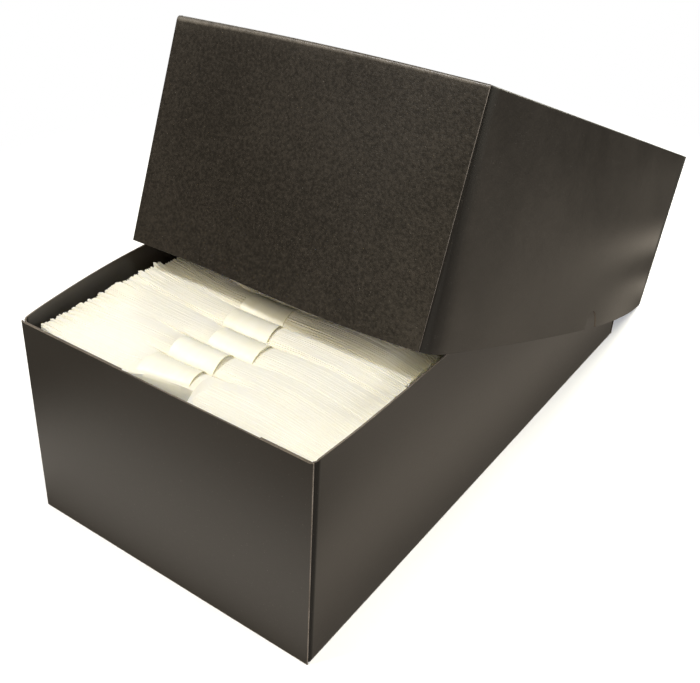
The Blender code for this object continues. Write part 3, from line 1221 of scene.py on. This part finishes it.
@dataclass
class Band:
    """The paper band round one bundle: an arch over the leaves, down both faces and under them."""

    number: int
    row: EnvelopeRow
    material: bpy.types.Material
    width: float = 27.0 * MM
    paper: float = 0.14 * MM
    shift_shares: tuple[float, ...] = (-0.26, -0.22, 0.08, -0.18, -0.32, 0.04, -0.12, -0.26, 0.02, -0.15)
    skews: tuple[float, ...] = (-0.113, -0.115, -0.07, -0.2, -0.14, -0.1, -0.16, -0.05, -0.12, -0.12)
    arches: tuple[float, ...] = (0.6, 1.7, 0.9, 0.7, 0.6, 0.8, 0.5, 0.9, 0.6, 0.7)
    first_front: float = -166.4 * MM
    first_turn: float = 0.2
    shoulder: float = 2.0 * MM
    corner: float = 1.6 * MM
    clearance: float = 0.3 * MM
    steps: int = 24
    wall_steps: int = 8
    rows: int = 10
    upright_share: float = 0.6
    edge_lift: float = 0.25 * MM
    under: float = 0.45 * MM
    shoulder_power: float = 2.4
    corner_power: float = 14.0

    def own(self, values: Sequence[float]) -> float:
        """This band's value from a list that starts again along the row."""
        return values[(self.number - 1) % len(values)]

    @property
    def middle(self) -> float:
        """Where across the box the band's middle is."""
        return self.width * self.own(self.shift_shares)

    def profile(self) -> list[tuple[float, float]]:
        """The band's line round the bundle, seen along X.

        Returns:
            The y and z of each point, the last the same as the first.
        """
        row = self.row
        front = self.first_front if self.number == 1 else row.line(0.0, self.number - 1)
        back = row.line(0.0, self.number) - row.gap
        low = row.floor - self.under
        top = row.floor + row.height + self.clearance
        wall = top - self.shoulder - self.corner - low
        arch = self.own(self.arches) * MM
        points = [(front, low + wall * step / self.wall_steps) for step in range(self.wall_steps + 1)]
        for step in range(1, self.steps):
            share = 0.5 - 0.5 * math.cos(math.pi * step / self.steps)
            side = abs(2 * share - 1)
            lift = (arch * (1 - side ** 2) - self.shoulder * side ** self.shoulder_power
                    - self.corner * side ** self.corner_power)
            points.append((front + (back - front) * share, top + lift))
        points += [(back, low + wall * (1 - step / self.wall_steps)) for step in range(self.wall_steps + 1)]
        points.append(points[0])
        return points

    def make(self) -> None:
        """Make the band as one piece."""
        points = self.profile()
        front, back = points[0][0], points[-2][0]
        shift = self.middle
        skew, plain = self.own(self.skews), self.upright_share * self.row.height

        def place(column: int, row: int) -> Vector:
            """The point of a column and a row.

            Args:
                column: the column.
                row: the row.

            Returns:
                The point.
            """
            y, z = points[column]
            across = self.width * (row / (self.rows - 1) - 0.5)
            upper = max(0.0, (z - plain) / (self.row.height - plain))
            lift = self.edge_lift * (2 * across / self.width) ** 4 * upper
            x = shift + across + skew * (y - (front + back) / 2) * upper
            turned = self.first_turn * x * (back - y) / (back - front) if self.number == 1 else 0.0
            return Vector((x, y + turned, z + lift))

        def edge(column: int, row: int) -> float:
            """Where the paper's right cut edge is, which gets painted shade: 1 there, else 0."""
            return 1.0 if row == self.rows - 1 else 0.0

        # The edge mark goes into the fold paint, where the band paper turns it into painted shade.
        mesh = sheet_mesh(len(points), self.rows, place, wear=edge)
        bmesh.ops.remove_doubles(mesh, verts=mesh.verts, dist=0.01 * MM)
        bmesh.ops.recalc_face_normals(mesh, faces=mesh.faces)
        name = f"band_{self.number:02d}"
        Piece(name + "_paper", mesh, [self.material], f"bundle_{self.number:02d}", name, "band_paper",
              self.paper, smooth_angle=40.0).make()


@dataclass(frozen=True)
class Lamp:
    """A square soft lamp on a sphere round the box."""

    name: str
    turn: float
    rise: float
    size: float
    power: float
    colour: tuple[float, float, float]
    distance: float = 1.5
    aim_height: float = 0.1
    mirrored: bool = True

    def make(self) -> None:
        """Hang the lamp and point it at the box."""
        turn, rise = math.radians(self.turn), math.radians(self.rise)
        aim = Vector((0.0, 0.0, self.aim_height))
        towards = Vector((math.cos(rise) * math.sin(turn), -math.cos(rise) * math.cos(turn), math.sin(rise)))
        place = aim + self.distance * towards
        data = bpy.data.lights.new(self.name, "AREA")
        data.shape = "SQUARE"
        data.size = self.size
        data.energy = self.power
        data.color = self.colour
        made = bpy.data.objects.new(self.name, data)
        made.location = place
        made.rotation_euler = (aim - place).to_track_quat("-Z", "Y").to_euler()
        made.visible_glossy = self.mirrored
        bpy.context.scene.collection.objects.link(made)


@dataclass
class Studio:
    """The floor, the lamps, the pale surroundings and the camera."""

    eye: tuple[float, float, float] = (0.24485, -0.40194, 0.33338)
    right: tuple[float, float, float] = (0.82325, 0.56558, 0.04871)
    up: tuple[float, float, float] = (-0.30935, 0.37501, 0.87388)
    lens: float = 47.93
    shift: tuple[float, float] = (-0.01301, -0.05965)
    floor_size: float = 4.0
    floor_drop: float = 0.05 * MM
    floor_lift: float = 0.12
    floor_fade: tuple[float, float] = (0.2, 0.45)
    floor_colour: Colour = (0.84, 0.845, 0.88, 1.0)
    room: Colour = (0.075, 0.068, 0.05, 1.0)
    foot: tuple[float, float, float, float] = (0.09, 0.03, 0.21, -0.18)
    glow_reach: float = 0.4
    glow_blend: float = 0.01
    front_glow: tuple[tuple[float, float], ...] = (
        (0.0, 0.4), (0.025, 0.88), (0.055, 0.84), (0.09, 0.3), (0.12, 0.06), (0.17, 0.24), (0.3, 0.05),
        (0.4, 0.0))
    side_glow: tuple[tuple[float, float], ...] = (
        (0.0, 0.16), (0.03, 0.62), (0.055, 0.1), (0.085, 0.05), (0.12, 0.85), (0.17, 0.08), (0.3, 0.17),
        (0.4, 0.0))
    front_tint: tuple[float, float, float] = (1.0, 0.93, 0.83)
    side_tint: tuple[float, float, float] = (0.98, 0.86, 0.7)
    lamps: tuple[Lamp, ...] = (
        Lamp("key", -28.0, 55.0, 0.16, 12.1, (0.985, 0.985, 1.0), 1.37),
        Lamp("front", 20.0, 40.0, 0.7, 10.6, (1.0, 0.92, 0.66)),
        Lamp("front_right", 45.0, 12.0, 0.7, 7.0, (1.0, 0.88, 0.84)),
        Lamp("right", 95.0, 9.0, 0.7, 26.0, (0.86, 0.92, 1.0), mirrored=False),
        Lamp("rear", 165.0, 30.0, 0.7, 30.0, (1.0, 0.97, 0.82)),
        Lamp("left", 270.0, 25.0, 0.9, 3.0, (1.0, 0.97, 0.92)),
        Lamp("rear_left", 225.0, 20.0, 0.9, 6.0, (1.0, 0.97, 0.92)))

    def build(self) -> None:
        """Set up everything round the box."""
        bpy.context.scene.view_settings.view_transform = "Standard"
        self._camera()
        self._world()
        self._floor()
        for lamp in self.lamps:
            lamp.make()

    def _camera(self) -> None:
        """Put the camera where the photograph was taken from."""
        data = bpy.data.cameras.new("camera")
        data.sensor_width = 36.0
        data.lens = self.lens
        data.shift_x, data.shift_y = self.shift
        data.clip_start = 0.01
        made = bpy.data.objects.new("camera", data)
        right, up = Vector(self.right).normalized(), Vector(self.up).normalized()
        turned = Matrix((right, up, right.cross(up))).transposed().to_4x4()
        made.matrix_world = Matrix.Translation(self.eye) @ turned
        bpy.context.scene.collection.objects.link(made)
        bpy.context.scene.camera = made

    @staticmethod
    def _seen(sheet: NodeSheet) -> Socket:
        """Whether a ray comes from the camera, straight or through something clear.

        Args:
            sheet: the node sheet.

        Returns:
            1 or 0.
        """
        camera = sheet.node("ShaderNodeLightPath", output="Is Camera Ray")
        clear = sheet.node("ShaderNodeLightPath", output="Is Transmission Ray")
        return sheet.maths("MAXIMUM", camera, clear)

    def _world(self) -> None:
        """White for the camera, and a dim room for everything else."""
        world = bpy.data.worlds.new("room")
        bpy.context.scene.world = world
        sheet = NodeSheet(world)
        colour = sheet.mix(self._seen(sheet), self.room, WHITE)
        shader = sheet.node("ShaderNodeBackground", {}, {"Color": colour, "Strength": 1.0})
        sheet.surface(shader, "ShaderNodeOutputWorld")

    def _glow(self, sheet: NodeSheet, away: Socket, steps: Sequence[tuple[float, float]],
              tint: Sequence[float]) -> Socket:
        """How brightly the floor lights the box from each distance.

        Args:
            sheet: the node sheet.
            away: distance from the box's foot, as a share of the reach.
            steps: distances in metres and the glow there.
            tint: the glow's colour.

        Returns:
            The colour.
        """
        stops = [(place / self.glow_reach, (*(part * level for part in tint), 1.0))
                 for place, level in steps]
        return sheet.node("ShaderNodeValToRGB", {"stops": stops}, {0: away})

    def _floor(self) -> None:
        """A wide white floor that keeps the box's shadow, and lights the box's foot."""
        mesh = bmesh.new()
        bmesh.ops.create_grid(mesh, x_segments=4, y_segments=4, size=self.floor_size)
        bmesh.ops.translate(mesh, vec=(0, 0, -self.floor_drop), verts=mesh.verts)
        data = bpy.data.meshes.new("floor")
        mesh.to_mesh(data)
        mesh.free()
        made = bpy.data.objects.new("floor", data)
        bpy.context.scene.collection.objects.link(made)
        material = bpy.data.materials.new("floor_white")
        data.materials.append(material)
        sheet = NodeSheet(material)
        place = sheet.position()
        x, y = (sheet.node("ShaderNodeSeparateXYZ", {}, {0: place}, axis) for axis in "XY")
        half_width, middle, half_length, front = self.foot
        aside = sheet.maths("MAXIMUM", sheet.maths("ABSOLUTE", x) - half_width, 0.0)
        beyond = sheet.maths("MAXIMUM", sheet.maths("ABSOLUTE", y - middle) - half_length, 0.0)
        away = (aside * aside + beyond * beyond) ** 0.5
        share = away / self.glow_reach
        in_front = 1.0 - y.between(front - self.glow_blend, front + self.glow_blend)
        glow = sheet.mix(in_front, self._glow(sheet, share, self.side_glow, self.side_tint),
                         self._glow(sheet, share, self.front_glow, self.front_tint))
        lights, white, lift = (
            sheet.node("ShaderNodeEmission", {}, {"Color": colour, "Strength": strength})
            for colour, strength in ((glow, 1.0), (WHITE, 1.0), (WHITE, self.floor_lift)))
        matte = sheet.node("ShaderNodeBsdfDiffuse", {}, {"Color": self.floor_colour})
        near = sheet.node("ShaderNodeAddShader", {}, {0: matte, 1: lift})
        shown = sheet.node("ShaderNodeMixShader", {}, {0: away.between(*self.floor_fade), 1: near, 2: white})
        sheet.surface(sheet.node("ShaderNodeMixShader", {}, {0: self._seen(sheet), 1: lights, 2: shown}))


def main() -> None:
    """Build the box and its studio in order."""
    logging.basicConfig(level=logging.INFO, format="%(name)s: %(message)s")
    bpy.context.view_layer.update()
    board = BoardFinish().material()
    lid_tones = {"dark": (0.0135, 0.0114, 0.0092, 1.0), "light": (0.033, 0.0278, 0.0223, 1.0)}
    lid_board = BoardFinish(name="black_lid_board", grain=0.2, **lid_tones).material()
    lid_ends = BoardFinish(name="pebbled_lid_board", grain=0.75, pebble=680.0, mottle=1.7,
                           **lid_tones).material()
    edge = CutEdgeFinish().material()
    tray = Tray(faces=[board, edge])
    tray.build()
    Lid(faces=[lid_board, edge], end_faces=[lid_ends, edge], tray=tray).build()
    row = EnvelopeRow()
    glassine = GlassineFinish().material()
    paper = BandFinish().material()
    for number in range(1, row.count + 1):
        band = Band(number, row, paper)
        covered = number >= row.covered
        Bundle(number, row, glassine, columns=36 if number == 1 else 12, valley_middle=band.middle,
               loose=0.3 if covered else 1.0, end_drop=2.0 * MM if covered else 0.0).make()
        band.make()
    Studio().build()


if __name__ == "__main__":
    main()
